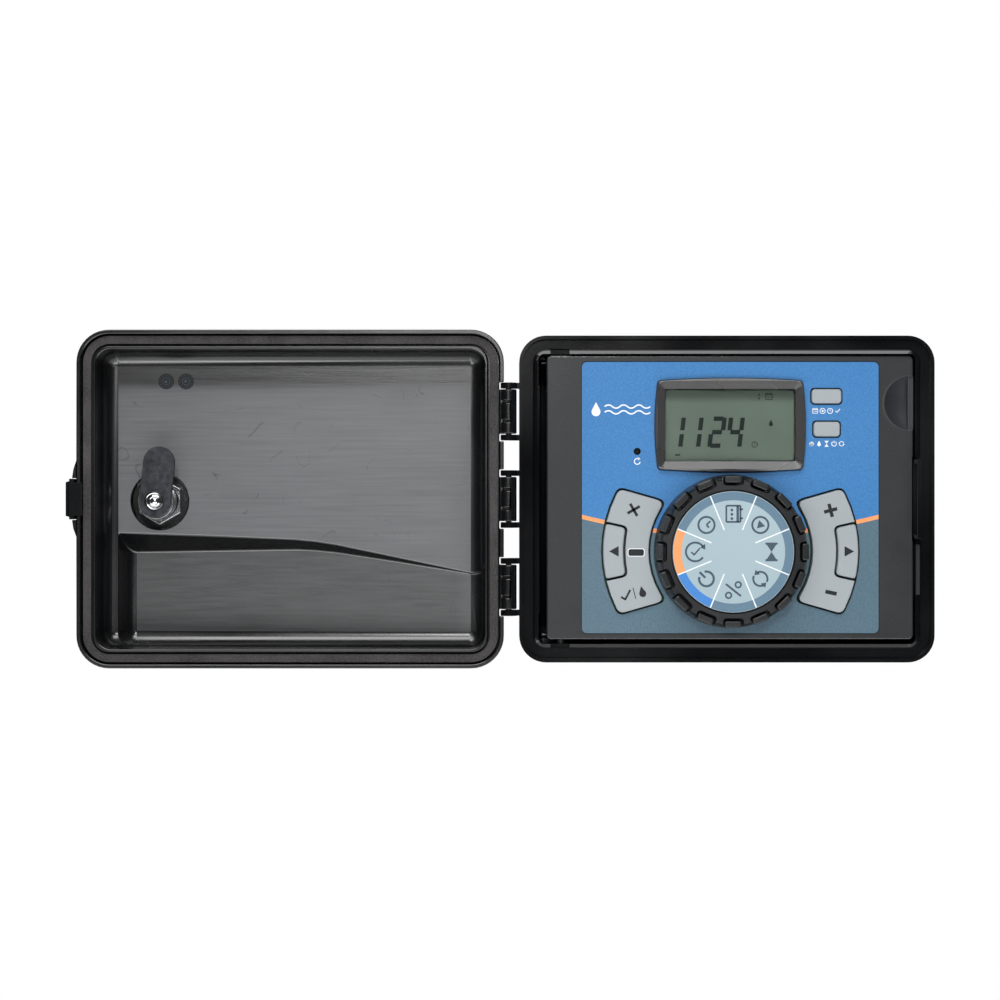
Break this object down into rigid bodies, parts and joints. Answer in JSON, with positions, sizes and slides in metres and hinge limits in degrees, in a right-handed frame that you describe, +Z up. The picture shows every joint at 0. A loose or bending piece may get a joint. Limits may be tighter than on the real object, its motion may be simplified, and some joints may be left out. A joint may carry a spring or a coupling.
{
  "type": "irrigation controller",
  "caption": "Outdoor wall-mount irrigation controller: black case, lid swung open, swing-out panel with screen, dial, rockers and buttons.",
  "frame": {"origin": "centre of the case's back face, on the wall plane", "axes": "+Z up, +Y into the wall, the front faces -Y, +X towards the lock side of the case"},
  "size_m": [0.4518, 0.078, 0.176],
  "materials": {
    "gloss_black": "moulded, slightly glossy",
    "satin_black": "moulded satin",
    "foam": "closed-cell foam",
    "key_grey": "satin",
    "dial_grey": "satin",
    "disc_blue": "printed, satin",
    "label_print": "printed film",
    "screen": "liquid-crystal glass",
    "lens": "clear acrylic",
    "zinc": "dark plated zinc",
    "steel": "bright plated",
    "board_green": "solder-masked laminate",
    "terminal_green": "moulded",
    "copper_tape": "insulating tape over winding",
    "rubber_grey": "moulded rubber",
    "iron_core": "varnished laminations"
  },
  "bodies": {
    "case": {"base_case": "gloss_black", "hinge_pin_top": "steel", "hinge_pin_middle": "steel", "hinge_pin_bottom": "steel", "lock_keeper": "steel", "panel_catch": "rubber_grey", "conduit_plug": "satin_black", "cable_grommet": "rubber_grey", "terminal_board": "board_green", "board_screw_1": "steel", "board_screw_2": "steel", "board_screw_3": "steel", "board_screw_4": "steel", "terminal_block_1": "terminal_green", "terminal_block_2": "terminal_green", "terminal_block_3": "terminal_green", "terminal_block_4": "terminal_green", "fuse": "steel", "transformer_core": "iron_core", "transformer_coil": "copper_tape"},
    "lid": {"lid_shell": "gloss_black", "lid_gasket": "foam", "lock_barrel": "steel", "lock_nut": "steel", "latch_pin": "steel"},
    "lock": {"lock_plug": "steel", "lock_cam": "zinc", "lock_cam_screw": "steel"},
    "latch": {"door_latch": "satin_black"},
    "panel": {"panel_fascia": "satin_black", "panel_label": "label_print", "lcd_bezel": "satin_black", "lcd_window": "lens", "lcd_glass": "screen", "main_board": "board_green", "rotary_switch": "satin_black", "keypad_mat_left": "rubber_grey", "keypad_mat_right": "rubber_grey", "panel_back_cover": "satin_black", "coin_cell": "steel"},
    "cell_door": {"cell_cover": "satin_black"},
    "dial": {"dial_knob": "dial_grey", "dial_disc": "disc_blue", "dial_shaft": "steel"},
    "left_rocker": {"left_rocker": "key_grey"},
    "right_rocker": {"right_rocker": "key_grey"},
    "left_arrow": {"left_arrow_key": "key_grey"},
    "right_arrow": {"right_arrow_key": "key_grey"},
    "program": {"program_button": "key_grey"},
    "rain_delay": {"rain_delay_button": "key_grey"},
    "reset": {"reset_button": "satin_black"}
  },
  "joints": [
    {"name": "lid_hinge", "type": "hinge", "parent": "case", "child": "lid", "pos_m": [-0.1135, -0.064, 0], "axis": [0, 0, 1], "range_deg": [0, 180]},
    {"name": "lock_turn", "type": "hinge", "parent": "lid", "child": "lock", "pos_m": [-0.2984, -0.056, -0.001], "axis": [0, -1, 0], "range_deg": [0, 90]},
    {"name": "latch_pivot", "type": "hinge", "parent": "lid", "child": "latch", "pos_m": [-0.3386, -0.0564, 0], "axis": [0, 0, -1], "range_deg": [0, 15], "stiffness_Nm_per_rad": 0.02, "springref_deg": -20.05},
    {"name": "panel_swing", "type": "hinge", "parent": "case", "child": "panel", "pos_m": [-0.0863, -0.056, 0], "axis": [0, 0, 1], "range_deg": [-100, 0]},
    {"name": "cell_cover_turn", "type": "hinge", "parent": "panel", "child": "cell_door", "pos_m": [0.04, -0.043, -0.04], "axis": [0, 1, 0], "range_deg": [0, 45]},
    {"name": "dial_turn", "type": "hinge", "parent": "panel", "child": "dial", "pos_m": [0.002, -0.07, -0.0272], "axis": [0, -1, 0], "continuous": true},
    {"name": "left_rocker_tilt", "type": "hinge", "parent": "panel", "child": "left_rocker", "pos_m": [-0.05, -0.059, -0.0272], "axis": [1, 0, 0], "range_deg": [-3, 3], "stiffness_Nm_per_rad": 0.05},
    {"name": "right_rocker_tilt", "type": "hinge", "parent": "panel", "child": "right_rocker", "pos_m": [0.054, -0.059, -0.0272], "axis": [1, 0, 0], "range_deg": [-3, 3], "stiffness_Nm_per_rad": 0.05},
    {"name": "left_arrow_press", "type": "slide", "parent": "panel", "child": "left_arrow", "axis": [0, 1, 0], "range_m": [0, 0.001], "stiffness_N_per_m": 600, "springref_m": -0.001},
    {"name": "right_arrow_press", "type": "slide", "parent": "panel", "child": "right_arrow", "axis": [0, 1, 0], "range_m": [0, 0.001], "stiffness_N_per_m": 600, "springref_m": -0.001},
    {"name": "program_press", "type": "slide", "parent": "panel", "child": "program", "axis": [0, 1, 0], "range_m": [0, 0.001], "stiffness_N_per_m": 600, "springref_m": -0.001},
    {"name": "rain_delay_press", "type": "slide", "parent": "panel", "child": "rain_delay", "axis": [0, 1, 0], "range_m": [0, 0.001], "stiffness_N_per_m": 600, "springref_m": -0.001},
    {"name": "reset_press", "type": "slide", "parent": "panel", "child": "reset", "axis": [0, 1, 0], "range_m": [0, 0.0004], "stiffness_N_per_m": 600, "springref_m": -0.001}
  ]
}
